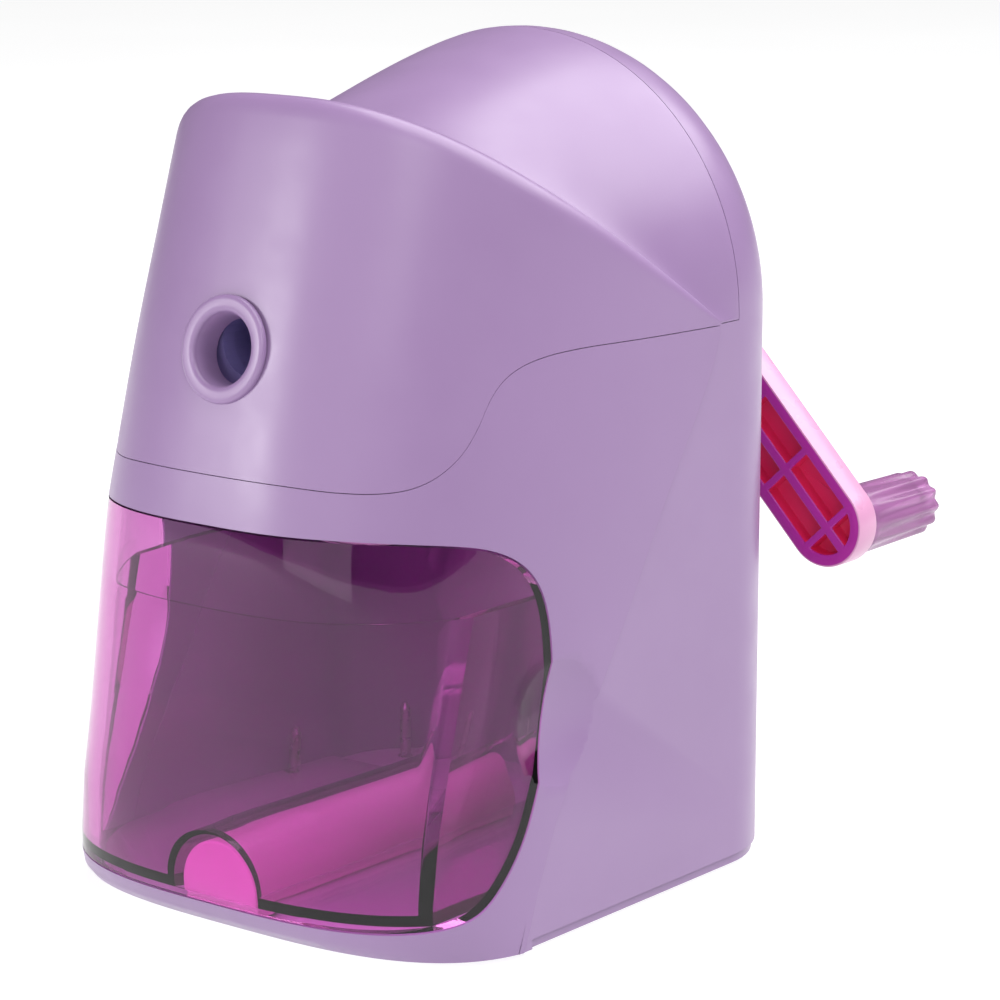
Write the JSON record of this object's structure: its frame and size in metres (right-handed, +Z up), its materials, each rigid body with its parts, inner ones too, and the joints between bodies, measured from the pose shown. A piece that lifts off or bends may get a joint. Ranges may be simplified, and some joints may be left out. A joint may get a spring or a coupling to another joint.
{
  "type": "pencil sharpener",
  "caption": "Hand-crank desk pencil sharpener: hooded housing, clear pull-out shavings drawer, rear crank with a ribbed arm and a fluted knob.",
  "frame": {"origin": "centre of the underside of the anti-slip pad, where the sharpener stands on the desk", "axes": "+X across the body, -Y towards the user and the pencil hole, +Y along the crank's shaft to the rear, +Z up"},
  "size_m": [0.0857, 0.1342, 0.1285],
  "materials": {
    "lavender_plastic": "satin moulded plastic",
    "grey_plastic": "matte",
    "steel": "machined",
    "pink_plastic": "glossy moulded plastic",
    "dark_rubber": "matte",
    "clear_magenta": "transparent tinted plastic",
    "clear_violet": "translucent tinted plastic",
    "brass": "machined"
  },
  "bodies": {
    "housing": {"main_body": "lavender_plastic", "top_cover": "lavender_plastic", "base_plate": "grey_plastic", "anti_slip_pad": "dark_rubber", "base_screw_1": "steel", "base_screw_2": "steel", "base_screw_3": "steel", "base_screw_4": "steel", "inlet_bezel": "lavender_plastic", "pencil_guide": "grey_plastic", "mechanism_frame": "grey_plastic", "ring_gear": "steel", "frame_bushing": "brass", "rear_bushing": "brass", "frame_screw_1": "steel", "frame_screw_2": "steel", "frame_screw_3": "steel", "frame_screw_4": "steel", "drawer_guide_rail": "pink_plastic"},
    "crank": {"crank_arm": "pink_plastic", "crank_shaft": "steel", "crank_screw": "steel", "shaft_circlip": "steel", "knob_pin": "steel", "cutter_carrier": "grey_plastic", "cutter_axle": "steel"},
    "cutter": {"helical_cutter": "steel", "cutter_pinion": "steel"},
    "knob": {"crank_knob": "clear_violet"},
    "drawer": {"drawer_tray": "clear_magenta"}
  },
  "joints": [
    {"name": "crank_turn", "type": "hinge", "parent": "housing", "child": "crank", "pos_m": [0, 0.055, 0.087], "axis": [0, 1, 0], "continuous": true},
    {"name": "cutter_spin", "type": "hinge", "parent": "crank", "child": "cutter", "pos_m": [0, -0.0115, 0.096], "axis": [0, 0.9823, -0.1874], "continuous": true},
    {"name": "knob_spin", "type": "hinge", "parent": "crank", "child": "knob", "pos_m": [0.0369, 0.077, 0.04812], "axis": [0, 1, 0], "continuous": true},
    {"name": "drawer_slide", "type": "slide", "parent": "housing", "child": "drawer", "axis": [0, -1, 0], "range_m": [0, 0.065]}
  ],
  "couplings": [
    {"joint": "cutter_spin", "follows": "crank_turn", "ratio": -3}
  ]
}
